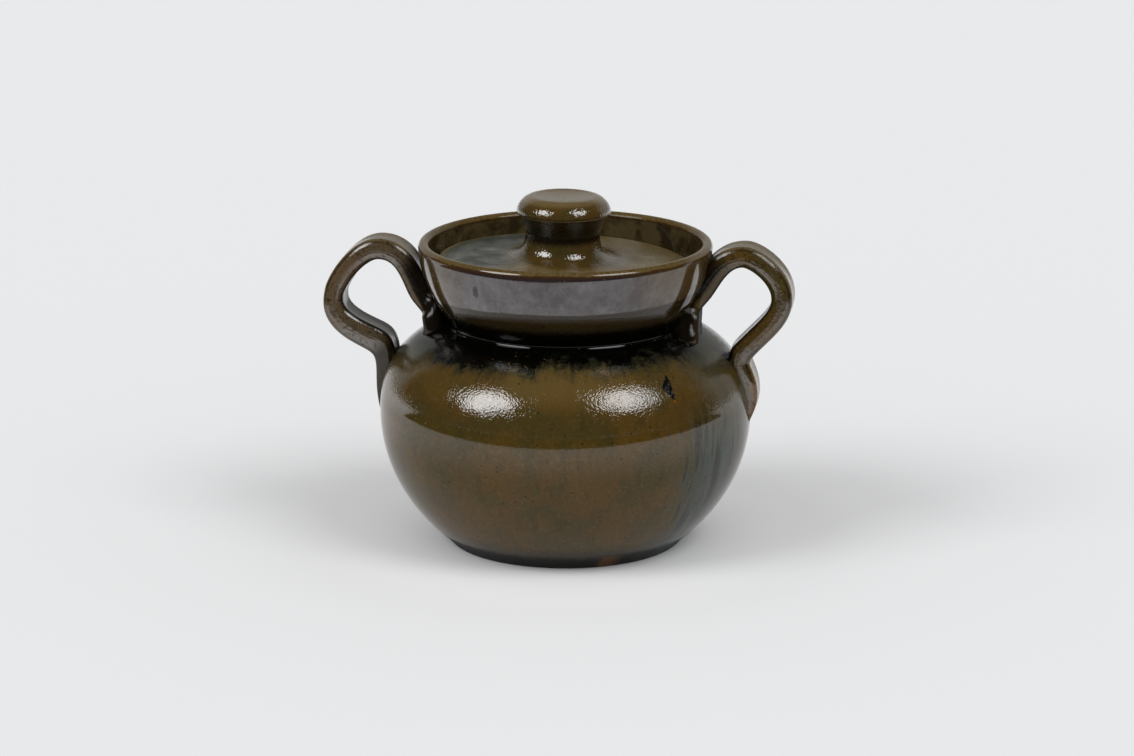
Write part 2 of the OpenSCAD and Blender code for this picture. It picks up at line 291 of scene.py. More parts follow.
# The run on the right, thick and grey green, with darker streaks in it
run_at = 1.12
off = add(tree, "Math", UNSIGNED, add(tree, "Math", LESS, azimuth, run_at))
off = add(tree, "Math", PLUS, off, add(tree, "Math", SCALED, runs, 0.8, -0.4))
across = add(tree, "MapRange", EASE, off, 0.12, 0.42, 0.9, 0.0)
across = add(tree, "Math", TIMES, across, add(tree, "MapRange", EASE, ragged, 40.0, 66.0, 1.0, 0.0))
thread = add(tree, "VectorMath", TIMES, path, (1.0, 1.0, 0.35))
thread = add(tree, "TexNoise", {}, Vector=thread, Scale=0.42, Detail=4.0, Roughness=0.55)
streak = add(tree, "MapRange", EASE, thread, 0.46, 0.58)
run_tone = add(tree, "Mix", COLOUR, streak, linear("#333b34"), linear("#0b0f0e"))
body = add(tree, "Mix", COLOUR, across, body, run_tone)

# Grey green patches painted on the shoulder by each handle, a painted reflection of the pale sheet
painted_side_reflection = add(tree, "Math", UNSIGNED, add(tree, "Math", {"operation": "DIVIDE"}, y, radius))
painted_side_reflection = add(tree, "MapRange", EASE, painted_side_reflection, 0.62, 0.40)
painted_side_reflection = add(tree, "Math", TIMES, painted_side_reflection, add(tree, "MapRange", EASE, ragged, 62.0, 71.0, 0.0, 0.7))
body = add(tree, "Mix", COLOUR, painted_side_reflection, body, linear("#2b3029"))

# The black pool from shoulder to collar, with rusty flecks and grey islands along its broken edge
feather = add(tree, "Math", SCALED, grain, 4.0, add(tree, "Math", PLUS, ragged, -2.0))
left_front = add(tree, "MapRange", EASE, azimuth, -0.15, -0.5, 0.0, 1.8)
left_front = add(tree, "Math", TIMES, left_front, add(tree, "MapRange", EASE, azimuth, -2.8, -2.0))
feather = add(tree, "Math", PLUS, feather, left_front)
low_edge = add(tree, "MapRange", EASE, feather, 73.0, 75.4)
high_edge = add(tree, "MapRange", EASE, add(tree, "Math", SCALED, sway, 0.3, z), 88.5, 84.0)
pool = add(tree, "Math", TIMES, low_edge, high_edge)
pool = add(tree, "Math", TIMES, pool, add(tree, "MapRange", EASE, radius, 40.2, 41.0))
island = add(tree, "TexNoise", {}, Vector=place, Scale=0.16, Detail=6.0, Roughness=0.7)
island = add(tree, "MapRange", EASE, island, 0.48, 0.62, 0.0, 0.9)
island = add(tree, "Math", TIMES, island, add(tree, "MapRange", EASE, z, 78.2, 75.6))
island_side = add(tree, "MapRange", EASE, azimuth, -0.12, 0.1, 0.1, 1.0)
island_back = add(tree, "MapRange", EASE, azimuth, -2.0, -2.8)
island_side = add(tree, "Math", LARGER, island_side, island_back)
island = add(tree, "Math", TIMES, island, island_side)
fleck = add(tree, "TexVoronoi", {}, Vector=place, Scale=0.55).outputs["Distance"]
fleck = add(tree, "MapRange", EASE, fleck, 0.2, 0.12, 0.0, 0.8)
fleck = add(tree, "Math", TIMES, fleck, add(tree, "MapRange", EASE, z, 78.5, 76.0))
fleck = add(tree, "Math", TIMES, fleck, add(tree, "MapRange", EASE, patch, 0.46, 0.54))
fleck_side = add(tree, "Math", UNSIGNED, add(tree, "Math", PLUS, azimuth, 0.2))
fleck = add(tree, "Math", TIMES, fleck, add(tree, "MapRange", EASE, fleck_side, 0.4, 0.2))
edge = add(tree, "MapRange", EASE, feather, 70.0, 74.2, 0.0, 0.85)
body = add(tree, "Mix", COLOUR, edge, body, linear("#24251a"))
body = add(tree, "Mix", COLOUR, pool, body, linear("#030302"))
body = add(tree, "Mix", COLOUR, add(tree, "Math", TIMES, pool, island), body, linear("#26251a"))
body = add(tree, "Mix", COLOUR, add(tree, "Math", TIMES, pool, fleck), body, linear("#5c3c14"))

# One drip has left the pool on the right of the front. It is black, and ends in a rusty tip.
drip_right, drip_top = 48.4, 70.9
drip_x = add(tree, "Math", SCALED, azimuth, girth_r, -drip_right)
fallen = add(tree, "Math", SCALED, z, -1.0, drip_top)
right_edge = add(tree, "Math", SCALED, fallen, -0.1, add(tree, "Math", TIMES, drip_x, -1.0))
upper_left = add(tree, "Math", SCALED, fallen, 1.25, drip_x)
lower_left = add(tree, "Math", SCALED, fallen, -0.72, add(tree, "Math", PLUS, drip_x, 7.84))
drip = add(tree, "Math", SMALLER, right_edge, upper_left)
drip = add(tree, "Math", SMALLER, drip, lower_left)
drip = add(tree, "Math", PLUS, drip, add(tree, "Math", SCALED, grain, 3.0, -1.5))
drip = add(tree, "MapRange", EASE, drip, -0.2, 0.4)
black_drip = add(tree, "Math", TIMES, drip, add(tree, "MapRange", EASE, fallen, 8.4, 7.6))
body = add(tree, "Mix", COLOUR, add(tree, "Math", TIMES, drip, 0.6), body, linear("#7a4a14"))
body = add(tree, "Mix", COLOUR, black_drip, body, linear("#050605"))

# Black painted shade in the creases where the straps are luted to the belly
painted_crease_shade = add(tree, "Math", SCALED, z, -0.22, add(tree, "Math", UNSIGNED, y))
painted_crease_shade = add(tree, "MapRange", EASE, painted_crease_shade, -7.3, -8.5)
painted_crease_shade = add(tree, "Math", TIMES, painted_crease_shade, add(tree, "MapRange", EASE, radius, 52.0, 55.0))
painted_crease_shade = add(tree, "Math", TIMES, painted_crease_shade, add(tree, "MapRange", EASE, z, 42.0, 50.0))
body = add(tree, "Mix", COLOUR, painted_crease_shade, body, linear("#0a0906"))

# On the collar the glaze is dark under a film of lustre, which shows grey mauve. Its front is also
# painted grey mauve, a painted reflection of the table, with a paler painted reflection in a band
# below it, and it is painted dark below a wavy line, a painted reflection of the dark shoulder. It
# breaks to rust under the lip, and thins to a mottled olive brown over it.
up = add(tree, "MapRange", EASE, z, 83.0, 88.0)
bore = add(tree, "MapRange", EASE, z, 94.5, 95.5)
bore = add(tree, "Math", TIMES, bore, add(tree, "MapRange", EASE, radius, 49.4, 48.4))
outer = add(tree, "Math", LARGER, add(tree, "Math", LESS, up, bore), 0.0)
turned_off = add(tree, "Math", UNSIGNED, azimuth)
# The front is painted grey mauve, a painted reflection of the table
painted_mauve_reflection = add(tree, "MapRange", EASE, turned_off, 0.95, 0.45)
collar_tone = add(tree, "Mix", COLOUR, painted_mauve_reflection, linear("#43331a"), linear("#2a1f22"))
# A paler band painted lower on the front, a painted reflection
painted_pale_reflection = add(tree, "MapRange", EASE, z, 95.6, 94.6)
pale_side = add(tree, "MapRange", EASE, turned_off, 0.4, 0.85, 1.0, 0.2)
painted_pale_reflection = add(tree, "Math", TIMES, painted_pale_reflection, pale_side)
collar_tone = add(tree, "Mix", COLOUR, painted_pale_reflection, collar_tone, linear("#382f31"))
# Below a wavy line the collar is painted dark, a painted reflection of the dark shoulder
painted_dark_reflection = add(tree, "Math", TIMES, turned_off, turned_off)
painted_dark_reflection = add(tree, "Math", TIMES, painted_dark_reflection, add(tree, "MapRange", EASE, turned_off, 2.4, 1.6))
low_drop = add(tree, "MapRange", EASE, azimuth, -0.2, 0.6, 2.4, -0.8)
painted_dark_reflection = add(tree, "Math", SCALED, painted_dark_reflection, low_drop, z)
painted_dark_reflection = add(tree, "MapRange", EASE, add(tree, "Math", SCALED, sway, 0.12, painted_dark_reflection), 92.5, 91.5)
collar_tone = add(tree, "Mix", COLOUR, painted_dark_reflection, collar_tone, linear("#241a0b"))
body = add(tree, "Mix", COLOUR, add(tree, "Math", TIMES, outer, 0.92), body, collar_tone)
bore_patch = add(tree, "MapRange", EASE, patch, 0.40, 0.60)
bore_tone = add(tree, "Mix", COLOUR, bore_patch, linear("#271e0e"), linear("#483c25"))
body = add(tree, "Mix", COLOUR, add(tree, "Math", TIMES, bore, 0.8), body, bore_tone)
under_lip = add(tree, "MapRange", EASE, z, 105.0, 105.8)
body = add(tree, "Mix", COLOUR, add(tree, "Math", TIMES, under_lip, 0.8), body, linear("#35210c"))
thin = add(tree, "MapRange", EASE, add(tree, "Math", SCALED, patch, 1.2, z), 106.5, 107.2)
thin = add(tree, "Math", TIMES, thin, add(tree, "MapRange", EASE, grain, 0.62, 0.45, 0.45, 0.95))
body = add(tree, "Mix", COLOUR, thin, body, linear("#5b4b2a"))

# The film of lustre: thick and mottled on the collar, with a fainter sheen on belly and shoulder
mottle = add(tree, "TexNoise", {}, Vector=place, Scale=0.11, Detail=7.0, Roughness=0.72)
film = add(tree, "MapRange", {}, mottle, 0.38, 0.62, 0.52, 1.0)
film = add(tree, "Math", TIMES, film, add(tree, "MapRange", {}, painted_mauve_reflection, 0.0, 1.0, 0.68, 1.0))
light_spot = add(tree, "TexVoronoi", {}, Vector=place, Scale=0.34).outputs["Distance"]
film = add(tree, "Math", PLUS, film, add(tree, "MapRange", EASE, light_spot, 0.3, 0.1, 0.0, 0.15))
film = add(tree, "Math", TIMES, film, add(tree, "MapRange", EASE, painted_dark_reflection, 0.0, 1.0, 1.0, 0.2))
film = add(tree, "Math", TIMES, film, outer)
film = add(tree, "Math", TIMES, film, add(tree, "MapRange", EASE, z, 106.2, 105.2, 0.5, 1.0))
sheen = add(tree, "MapRange", EASE, z, 36.0, 50.0, 0.03, 0.32)
sheen = add(tree, "Math", PLUS, sheen, add(tree, "MapRange", EASE, z, 51.0, 57.0, 0.0, 0.44))
sheen = add(tree, "Math", TIMES, sheen, add(tree, "MapRange", EASE, turned_off, 0.9, 1.25, 1.0, 0.4))
flank = add(tree, "MapRange", EASE, turned_off, 0.45, 1.2, 0.0, 0.1)
sheen = add(tree, "Math", LARGER, sheen, flank)
sheen = add(tree, "Math", TIMES, sheen, add(tree, "MapRange", {}, grain, 0.35, 0.65, 1.2, 0.8))
sheen = add(tree, "Math", TIMES, sheen, add(tree, "MapRange", EASE, z, 73.0, 69.5, 0.25, 1.0))
film = add(tree, "Math", LARGER, film, add(tree, "Math", LESS, sheen, dry_foot_and_shade))
film = add(tree, "Math", TIMES, film, add(tree, "MapRange", EASE, bore, 0.0, 1.0, 1.0, 0.3))

# A dark rub on the left of the collar, 98 mm up, then pale grit, iron specks and pinholes
rub_left, rub_girth_r, rub_squash = 22.1, 43.0, 0.46
rub_x = add(tree, "Math", SCALED, azimuth, rub_girth_r, rub_left)
rub_z = add(tree, "Math", SCALED, z, rub_squash, -45.2)
rub = add(tree, "VectorMath", LENGTH, add(tree, "CombineXYZ", {}, rub_x, rub_z, 0.0))
rub = add(tree, "Math", SCALED, grain, 1.6, add(tree, "Math", PLUS, rub.outputs["Value"], -0.8))
rub = add(tree, "Math", TIMES, add(tree, "MapRange", EASE, rub, 1.2, 0.7, 0.0, 0.85), outer)
body = add(tree, "Mix", COLOUR, rub, body, linear("#15110f"))
film = add(tree, "Math", TIMES, film, add(tree, "MapRange", {}, rub, 0.0, 1.0, 1.0, 0.3))
grit = add(tree, "TexVoronoi", {}, Vector=place, Scale=0.42).outputs["Distance"]
grit = add(tree, "MapRange", EASE, grit, 0.13, 0.05, 0.0, 0.3)
grit = add(tree, "Math", TIMES, grit, add(tree, "MapRange", EASE, z, 52.0, 46.0))
body = add(tree, "Mix", COLOUR, grit, body, linear("#7c7458"))
speck = add(tree, "TexVoronoi", {}, Vector=place, Scale=0.24).outputs["Distance"]
dot = add(tree, "MapRange", EASE, speck, 0.11, 0.06, 0.0, 0.8)
body = add(tree, "Mix", COLOUR, dot, body, linear("#0b0806"))
pin = add(tree, "TexVoronoi", {}, Vector=place, Scale=0.5).outputs["Distance"]
pin = add(tree, "MapRange", EASE, pin, 0.14, 0.04)

# The orange-peel ripple on the shoulder, about 0.7 mm from crest to crest
ripple = add(tree, "TexNoise", {}, Vector=place, Scale=1.5, Detail=1.0, Roughness=0.5)
shoulder_only = add(tree, "MapRange", EASE, z, 78.0, 72.0)
shoulder_only = add(tree, "Math", TIMES, shoulder_only, add(tree, "MapRange", EASE, z, 53.0, 59.0))
in_patches = add(tree, "MapRange", EASE, patch, 0.38, 0.6, 0.55, 1.2)
shoulder_only = add(tree, "Math", TIMES, shoulder_only, in_patches)
ripple = add(tree, "Math", TIMES, ripple, add(tree, "Math", PLUS, shoulder_only, 0.04))
ripple = add(tree, "Math", LESS, ripple, add(tree, "Math", TIMES, pin, 0.35))
relief = add(tree, "Bump", {}, Strength=1.0, Distance=0.1 * MM, Height=ripple)
dull = add(tree, "MapRange", EASE, low_down, 8.0, 4.0, 0.06, 0.6)
glaze = add(
    tree, "BsdfPrincipled", {}, Base_Color=body, Roughness=dull, IOR=glaze_ior,
    Specular_IOR_Level=glaze_level, Coat_Weight=film, Coat_Roughness=0.07, Coat_IOR=lustre_ior,
    Normal=relief, Coat_Normal=relief,
)
tree.links.new(glaze.outputs[0], output.inputs["Surface"])
pot.data.materials.append(material)
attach(pot, "jar")
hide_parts("pot_body")


# Handles. Each is a strap pulled from a wet lug of the same clay, pressed on at the neck with a
# thumb, bent over in a loop and luted to the belly, where its tail is smeared out thin.
strap_w, strap_t, root_t, pad_w, tail_w, tail_t, aside = 14.0, 7.7, 9.1, 17.0, 9.0, 5.6, 5.0
corner_round, face_dip, side_bulge, bulge_room = 2.1, 0.3, 0.55, 0.8
station_gap, near_from, near_over = 2.6, 4, 7
web_r, web_push, web_spread = 2.2, (-0.4, 0, 0.9), 7

# A knot of the middle line: out from the axis, up, heading in degrees, the pull of the curve that
# comes in and of the one that leaves, then the strap's thickness, width and shift to the front.
left_knots = [
    (neck_r + 4.2, neck_z - 7.0, 90, 0, 0.33, 8.4, 16.0, aside),
    (neck_r + 3.85, neck_z - 1.2, 80, 0.33, 0.85, strap_t, pad_w, aside),
    (collar_r(87.2) + 4.05, 87.2, 52, 0.6, 0.2, strap_t, strap_w, 0),
    (rim_r + 13.9, rim_z - 4, 0, 0.48, 0.33, strap_t, strap_w, 0),
    (belly_r + 16.5, rim_z - 21.3, -90, 0.17, 0.13, strap_t - 0.6, strap_w, 0),
    (belly_r + 5.4, neck_z - 6.6, -157, 0.78, 0.5, root_t, strap_w, 0),
    (belly_r - 2.2, belly_z - 2, -105, 0.5, 0.33, tail_t, tail_w, 0),
    (belly_r - 5.6, belly_z - 10, -100, 0.33, 0, 4.0, 4.0, 0),
]
right_knots = [
    (neck_r + 2.8, neck_z - 7.0, 89, 0, 0.33, 8.6, 15.5, aside + 0.5),
    (neck_r + 2.6, neck_z - 1.6, 84, 0.33, 0.33, 9.6, 17.5, aside + 0.5),
    (neck_r + 2.6, neck_z + 1.6, 76, 0.33, 0.32, root_t, pad_w, aside),
    (collar_r(90.8) - 1.1, 90.8, 43, 0.7, 0.2, root_t, strap_w, 0),
    (rim_r + 11.2, rim_z - 2.9, 0, 0.42, 0.21, strap_t, strap_w, 0),
    (belly_r + 11.3, rim_z - 17.7, -90, 0.4, 0.37, strap_t, strap_w, 0),
    (belly_r - 2.9, neck_z - 14.8, -63, 0.31, 0.56, strap_t, strap_w, 0),
    (belly_r - 3.8, belly_z - 6, -96, 0.34, 0, tail_t, 4.0, 0),
]


def stations(knots):
    """Centre (out, up), heading, thickness, width and side shift along a strap's middle line."""
    line = []
    for a, b in zip(knots, knots[1:]):
        reach = math.dist(a[:2], b[:2])
        steps = max(3, round(reach / station_gap))
        leave, meet = math.radians(a[2]), math.radians(b[2])
        p = Vector(a[:2])
        s = Vector(b[:2])
        q = p + Vector((math.cos(leave), math.sin(leave))) * a[4] * reach
        r = s - Vector((math.cos(meet), math.sin(meet))) * b[3] * reach
        for i in range(steps + 1):
            if i == 0 and line:
                continue
            t = i / steps
            spot = p * (1 - t) ** 3 + q * 3 * t * (1 - t) ** 2 + r * 3 * t * t * (1 - t) + s * t**3
            way = (q - p) * 3 * (1 - t) ** 2 + (r - q) * 6 * t * (1 - t) + (s - r) * 3 * t * t
            ease = 3 * t * t - 2 * t**3
            size = [m + (n - m) * ease for m, n in zip(a[5:], b[5:])]
            line.append((spot, math.atan2(way.y, way.x), *size))
    return line


def wall_r(z):
    """Outer radius of the pot at a height, from its drawn outline."""
    pairs = zip(outside, outside[1:])
    below, above = min(pairs, key=lambda pair: abs(pair[0][1] + pair[1][1] - 2 * z))
    return (below[0] + above[0]) / 2


def nudge(step, spread):
    """Moves what is selected, and softly takes along the clay round it, as far as spread."""
    bpy.ops.transform.translate(
        value=tuple(part * MM for part in step),
        use_proportional_edit=True,
        proportional_edit_falloff="SMOOTH",
        proportional_size=spread * MM,
        use_proportional_connected=True,
    )


def pulled(name, knots, side, crotch):
    """Extrudes a strap's section along its middle line, station by station.

    side is -1 for the left one, which is mirrored at the end. crotch is where the inner face meets
    the belly, which is filled with a web of clay. The section and the length so far go into "strap",
    and how close it lies to the wall goes into "near_pot".
    """
    line = stations(knots)
    spot, heading, thick, wide, shift = line[0]
    half_t, half_w, dip_w = strap_t / 2 * MM, (strap_w - bulge_room) / 2 * MM, 3 * MM
    piece = fresh("primitive_plane_add", size=2)
    piece.name = piece.data.name = name
    bpy.ops.transform.resize(value=(half_t, half_w, 1))
    bpy.ops.mesh.bevel(offset=corner_round * MM, segments=3, profile=0.6, affect="VERTICES")
    for face in (-1, 1):
        choose(piece, lambda corner: abs(corner.x - face * half_t) < hair)
        bpy.ops.mesh.subdivide(number_cuts=3)
        choose(piece, lambda corner: abs(corner.x - face * half_t) < hair and abs(corner.y) < dip_w)
        bpy.ops.transform.translate(value=(-face_dip * face * MM, 0, 0))
        choose(piece, lambda corner: abs(corner.y - face * half_w) < hair)
        bpy.ops.mesh.subdivide(number_cuts=1)
        choose(piece, lambda corner: abs(corner.y - face * half_w) < hair)
        bpy.ops.transform.translate(value=(0, side_bulge * face * MM, 0))
    form = bmesh.from_edit_mesh(piece.data)
    way = form.verts.layers.float_vector.new("strap")
    near = form.verts.layers.float.new("near_pot")
    for corner in form.verts:
        corner[way] = corner.co / MM
        corner[near] = 1.0
    bmesh.update_edit_mesh(piece.data)
    bpy.ops.mesh.select_all(action="SELECT")
    bpy.ops.transform.resize(value=(thick / strap_t, wide / strap_w, 1), center_override=(0, 0, 0))
    centre = Vector((spot.x, -shift, spot.y)) * MM
    bpy.ops.transform.translate(value=centre)
    turn = heading - math.pi / 2
    bpy.ops.transform.rotate(value=turn, orient_axis="Y", center_override=centre)
    length = 0.0
    for spot, new_heading, new_thick, new_wide, shift in line[1:]:
        new_centre = Vector((spot.x, -shift, spot.y)) * MM
        bpy.ops.mesh.extrude_region_move(TRANSFORM_OT_translate={"value": new_centre - centre})
        turn = new_heading - heading
        bpy.ops.transform.rotate(value=turn, orient_axis="Y", center_override=new_centre)
        bpy.ops.transform.resize(
            value=(new_thick / thick, new_wide / wide, 1),
            orient_type="NORMAL",
            orient_matrix=Matrix.Rotation(math.pi / 2 - new_heading, 3, "Y"),
            orient_matrix_type="NORMAL",
            center_override=new_centre,
        )
        length += (new_centre - centre).length / MM
        form = bmesh.from_edit_mesh(piece.data)
        way = form.verts.layers.float_vector["strap"]
        near = form.verts.layers.float["near_pot"]
        clear = spot.x - wall_r(spot.y)
        for corner in form.verts:
            if corner.select:
                corner[way] = (corner[way].x, corner[way].y, length)
                corner[near] = 1 - min(max((clear - near_from) / near_over, 0), 1)
        bmesh.update_edit_mesh(piece.data)
        centre, heading, thick, wide = new_centre, new_heading, new_thick, new_wide
    choose(piece, lambda corner: math.dist((corner.x / MM, corner.z / MM), crotch) < web_r)
    nudge(web_push, web_spread)
    bpy.ops.mesh.select_all(action="SELECT")
    if side < 0:
        bpy.ops.transform.resize(value=(-1, 1, 1), center_override=(0, 0, 0))
    bpy.ops.mesh.normals_make_consistent(inside=False)
    bpy.ops.object.mode_set(mode="OBJECT")
    rounded = piece.modifiers.new("smooth strap", "SUBSURF")
    rounded.levels = rounded.render_levels = 2
    bpy.ops.object.modifier_apply(modifier=rounded.name)
    bpy.ops.object.shade_smooth()
    return piece


left_strap = pulled("left_pulled_strap", left_knots, side=-1, crotch=(62.5, 72.5))
right_strap = pulled("right_pulled_strap", right_knots, side=1, crotch=(60.0, 68.0))

# A thumb has pressed the front of the right root, and the clay stands up in a lip below the print.
bpy.ops.object.select_all(action="DESELECT")
bpy.context.view_layer.objects.active = right_strap
bpy.ops.object.mode_set(mode="EDIT")
print_x, print_y, print_r, print_spread = 45.0, -9, 1.2, 5
print_z, print_depth, lip_below_z, lip_height = 81.0, 1.0, 76.8, 0.8
for push_z, push in ((print_z, print_depth), (lip_below_z, -lip_height)):
    pushed = (print_x, push_z)
    choose(
        right_strap,
        lambda corner: corner.y < print_y * MM
        and math.dist((corner.x / MM, corner.z / MM), pushed) < print_r,
    )
    nudge((0, push, 0), print_spread)
bpy.ops.object.mode_set(mode="OBJECT")


# The same dipped and fired glaze on the straps. It gives dark ridges with a paler outer face between
# them, painted paler as a reflection of the sheet behind, a greyer left strap painted as a reflection
# of the table, black where it pools in the neck, and black painted shade round the hole and where a
# strap lies against the belly. A film of lustre takes the light of the table as lilac grey.
strap_level = 0.3


def along_the_pull(tree, place):
    """Coordinates that run along a pulled strap."""
    strap = add(tree, "Attribute", {"attribute_name": "strap"}).outputs["Vector"]
    return add(tree, "VectorMath", TIMES, strap, (1, 1, 0.12))


material, tree, output, place, path, cloud, runs, grain, body = iron_glaze(
    "dipped_iron_glaze_on_straps", along_the_pull
)

# across runs from -3.9 mm on the outer face to 3.9 mm on the face that rounds the hole, beam is
# the distance from the strap's middle line, and length is the way from the root.
strap = add(tree, "Attribute", {"attribute_name": "strap"}).outputs["Vector"]
across, beam, length = add(tree, "SeparateXYZ", {}, strap).outputs
near_pot = add(tree, "Attribute", {"attribute_name": "near_pot"}).outputs["Fac"]
beam = add(tree, "Math", UNSIGNED, beam)
# The left strap is painted a greyer lilac brown, a painted reflection of the pale table
on_left = add(tree, "SeparateXYZ", {}, place).outputs[0]
on_left = add(tree, "MapRange", EASE, on_left, 10.0, -10.0)
body = add(tree, "Mix", COLOUR, add(tree, "Math", TIMES, on_left, 0.35), body, linear("#5f5246"))

# Dark edges along the outer face, a paler face between them, which is a painted reflection of the
# sheet behind, and black painted shade along the edges round the hole
outer_ridge = add(tree, "MapRange", EASE, across, -2.0, -2.9)
outer_ridge = add(tree, "Math", TIMES, outer_ridge, add(tree, "MapRange", EASE, beam, 4.2, 5.4))
broken = add(tree, "MapRange", EASE, runs, 0.36, 0.56, 0.25, 0.9)
dark_ridge = add(tree, "Math", TIMES, outer_ridge, broken)
body = add(tree, "Mix", COLOUR, dark_ridge, body, linear("#1f1408"))
face = add(tree, "MapRange", EASE, across, -2.9, -3.6, 0.0, 0.75)
body = add(tree, "Mix", COLOUR, face, body, linear("#64563a"))
# Black painted shade on the edges that round the hole
painted_hole_shade = add(tree, "MapRange", EASE, across, 2.7, 3.5, 0.0, 0.85)
body = add(tree, "Mix", COLOUR, painted_hole_shade, body, linear("#0d0a06"))

# Black where the glaze pools in the neck, black painted shade on the strap's inner face where it lies
# against the belly, and burnt orange brown on the right tail
at_root = add(tree, "MapRange", EASE, length, 44.0, 30.0)
touching = add(tree, "MapRange", EASE, add(tree, "Math", SCALED, cloud, 0.3, near_pot), 0.6, 1.1)
low_root = add(tree, "MapRange", EASE, length, 20.0, 12.0, 0.0, 1.8)
neck_side = add(tree, "Math", LESS, across, low_root)
neck_side = add(tree, "Math", TIMES, at_root, add(tree, "MapRange", EASE, neck_side, 2.0, 0.4))
# Painted shade on the inner face close to the belly
painted_belly_shade = add(tree, "MapRange", EASE, across, 1.0, 2.6)
painted_belly_shade = add(tree, "Math", TIMES, painted_belly_shade, add(tree, "Math", LESS, 1.0, at_root))
pool = add(tree, "Math", TIMES, touching, add(tree, "Math", PLUS, neck_side, painted_belly_shade))
body = add(tree, "Mix", COLOUR, add(tree, "Math", TIMES, pool, 0.95), body, linear("#080604"))
tail = add(tree, "MapRange", EASE, length, 96.0, 106.0)
left_tail = add(tree, "Math", TIMES, add(tree, "MapRange", EASE, length, 90.0, 97.0), on_left)
body = add(tree, "Mix", COLOUR, add(tree, "Math", TIMES, left_tail, 0.85), body, linear("#1b1509"))
burnt = add(tree, "Math", TIMES, tail, add(tree, "MapRange", EASE, across, 0.5, -1.5))
burnt = add(tree, "Math", TIMES, burnt, add(tree, "MapRange", EASE, grain, 0.42, 0.54, 0.1, 0.8))
burnt = add(tree, "Math", TIMES, burnt, add(tree, "MapRange", {}, left_tail, 0.0, 1.0, 1.0, 0.1))
body = add(tree, "Mix", COLOUR, burnt, body, linear("#6a4415"))
speckle = add(tree, "TexNoise", {}, Vector=place, Scale=0.75, Detail=3.0, Roughness=0.7)
speckle = add(tree, "MapRange", EASE, speckle, 0.54, 0.64)
body = add(tree, "Mix", COLOUR, add(tree, "Math", TIMES, speckle, 0.65), body, linear("#181008"))

# The film of lustre: broken by specks, thin on the outer face, gone under the loop and in the neck
film = add(tree, "MapRange", EASE, cloud, 0.34, 0.6, 0.35, 0.85)
film = add(tree, "Math", TIMES, film, add(tree, "MapRange", {}, speckle, 0.0, 1.0, 1.0, 0.45))
film = add(tree, "Math", TIMES, film, add(tree, "MapRange", {}, face, 0.0, 0.75, 1.0, 0.3))
film = add(tree, "Math", TIMES, film, add(tree, "MapRange", {}, on_left, 0.0, 1.0, 1.0, 1.2))
film = add(tree, "Math", TIMES, film, add(tree, "MapRange", {}, outer_ridge, 0.0, 1.0, 1.0, 0.4))
under_loop = add(tree, "MapRange", EASE, length, 68.0, 56.0, 0.75, 1.15)
under_loop = add(tree, "Math", TIMES, painted_hole_shade, under_loop)
film = add(tree, "Math", TIMES, film, add(tree, "MapRange", {}, under_loop, 0.0, 0.98, 1.0, 0.0))
film = add(tree, "Math", TIMES, film, add(tree, "MapRange", {}, left_tail, 0.0, 1.0, 1.0, 0.15))
in_neck = add(tree, "Math", TIMES, touching, at_root)
film = add(tree, "Math", TIMES, film, add(tree, "MapRange", {}, in_neck, 0.0, 1.0, 1.0, 0.05))

# Shallow grooves along the pull, under a fine grain
groove = add(tree, "TexNoise", {}, Vector=path, Scale=0.55, Detail=3.0)
relief = add(tree, "Bump", {}, Strength=1.0, Distance=0.16 * MM, Height=groove)
relief = add(tree, "Bump", {}, Strength=1.0, Distance=0.06 * MM, Height=grain, Normal=relief)
dull = add(tree, "MapRange", {}, grain, 0.35, 0.7, 0.08, 0.2)
behind_root = add(tree, "MapRange", EASE, across, 3.0, 3.6, 0.0, 0.5)
dull = add(tree, "Math", PLUS, dull, add(tree, "Math", TIMES, in_neck, behind_root))
glaze = add(
    tree, "BsdfPrincipled", {}, Base_Color=body, Roughness=dull, IOR=glaze_ior,
    Specular_IOR_Level=strap_level, Coat_Weight=film, Coat_Roughness=0.08, Coat_IOR=lustre_ior,
    Normal=relief, Coat_Normal=relief,
)
tree.links.new(glaze.outputs[0], output.inputs["Surface"])
for piece, node in ((left_strap, "left_handle"), (right_strap, "right_handle")):
    piece.data.materials.append(material)
    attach(piece, "jar")
    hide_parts(node)


# Lid. The real one is thrown as a flat disc that drops inside the collar onto the ledge, with
# a shallow turned hollow below. Its top was glazed thin and fired to a satin.
lid_r, lid_round, lid_top_z, crown_z, hollow_z, hollow_r = 44.7, 1.1, 99.7, 101.2, 97.2, 35.0
waist_r, waist_z, tilt_right, knob_shift = 12.8, 110.4, 2.3, -1.3

# One curve from the crown up to the knob's waist, which lid and knob share where they meet
crown, stem_foot, waist = (29.0, crown_z - 0.15), (15.0, 103.6), (waist_r, waist_z)
spread = bend(crown, (17.6, 101.0), stem_foot, steps=30)
spread += bend(stem_foot, (13.2, 105.4), waist, steps=12)[1:]
lid_ends, rim_edge = 21, lid_r - lid_round
lid_section = (
    [(0, hollow_z), (hollow_r - 1.2, hollow_z), (hollow_r, seat_z + 0.1), (hollow_r + 0.3, seat_z)]
    + [(lid_r - 1.2, seat_z), (lid_r - 0.3, seat_z + 0.3), (lid_r, seat_z + 1.1)]
    + run(lid_top_z - lid_round, lid_round, lid_round, 2, start=0, end=90, steps=8, centre_r=rim_edge)
    + bend((rim_edge, lid_top_z), (37, crown_z - 0.3), crown, steps=12)[1:]
    + spread[1:lid_ends + 1]
    + [(12, spread[lid_ends][1] - 0.5), (0, spread[lid_ends][1] - 0.5)]
)
lid = turned("inset_lid", lid_section, steps=128)

